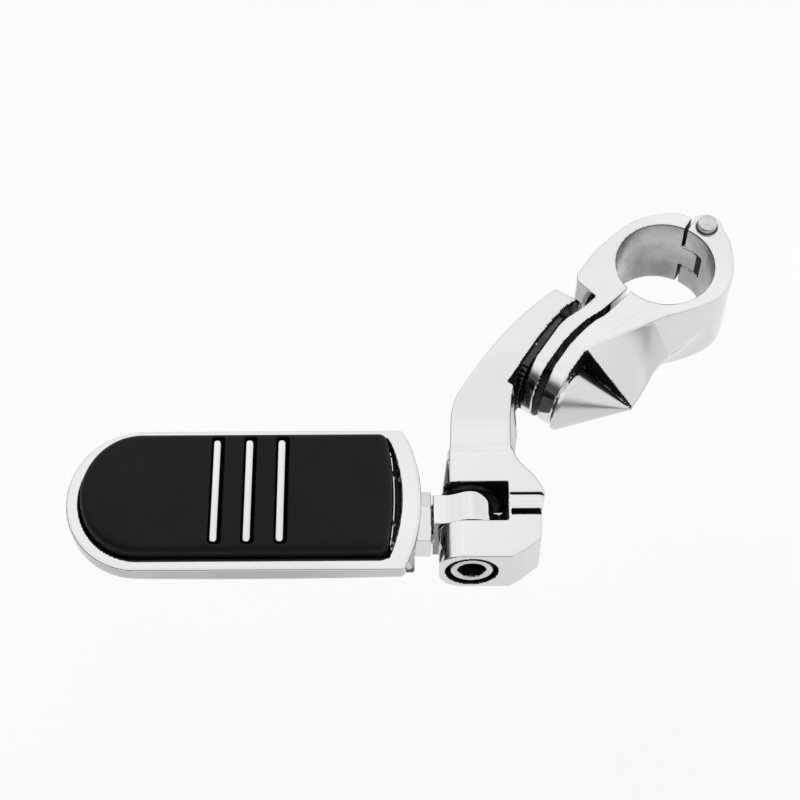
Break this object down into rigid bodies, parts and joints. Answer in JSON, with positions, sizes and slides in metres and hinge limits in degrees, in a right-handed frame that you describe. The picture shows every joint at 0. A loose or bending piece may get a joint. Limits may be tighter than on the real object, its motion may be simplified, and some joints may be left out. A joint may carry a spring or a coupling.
{
  "type": "highway foot peg",
  "caption": "Chromed motorcycle highway foot peg: folding rubber-padded peg on a curved offset arm, serrated swivel and hinged clamp for a round crash-bar tube.",
  "frame": {"origin": "centre of the tube bore at half the clamp's height", "axes": "+Z along the clamped tube, -X along the peg towards its free end, +Y from the peg's side towards the tube"},
  "size_m": [0.2082, 0.1321, 0.0375],
  "materials": {
    "chrome": "mirror-bright chrome plate",
    "steel": "plain bright steel",
    "dark_steel": "dark spring steel",
    "rubber": "satin black moulded rubber"
  },
  "bodies": {
    "near_half": {"clamp_near_half": "chrome"},
    "far_half": {"clamp_far_half": "chrome", "hinge_pin": "steel", "clamp_screw": "chrome", "clamp_screw_lock_washer": "steel"},
    "arm": {"arm": "chrome", "clevis_screw": "steel", "spring_washer": "dark_steel"},
    "knuckle": {"knuckle": "chrome", "jam_nut": "chrome"},
    "peg": {"peg_base": "chrome", "rubber_pad": "rubber", "pad_washer_1": "steel", "pad_washer_2": "steel", "pad_washer_3": "steel", "pad_washer_4": "steel", "pad_screw_1": "steel", "pad_screw_2": "steel", "pad_screw_3": "steel", "pad_screw_4": "steel"}
  },
  "joints": [
    {"name": "clamp_hinge", "type": "hinge", "parent": "near_half", "child": "far_half", "pos_m": [0.01475, 0.01505, 0], "axis": [0, 0, 1], "range_deg": [-0.6, 0.2]},
    {"name": "arm_swivel", "type": "hinge", "parent": "near_half", "child": "arm", "pos_m": [-0.0354, -0.0316, 0], "axis": [0.8387, -0.5446, 0], "range_deg": [-90, 90]},
    {"name": "peg_fold", "type": "hinge", "parent": "arm", "child": "knuckle", "pos_m": [-0.06485, -0.08407, 0.00285], "axis": [0, 1, 0], "range_deg": [0, 90]},
    {"name": "peg_roll", "type": "hinge", "parent": "knuckle", "child": "peg", "pos_m": [-0.06485, -0.08717, -0.00035], "axis": [1, 0, 0], "range_deg": [-90, 90]}
  ]
}
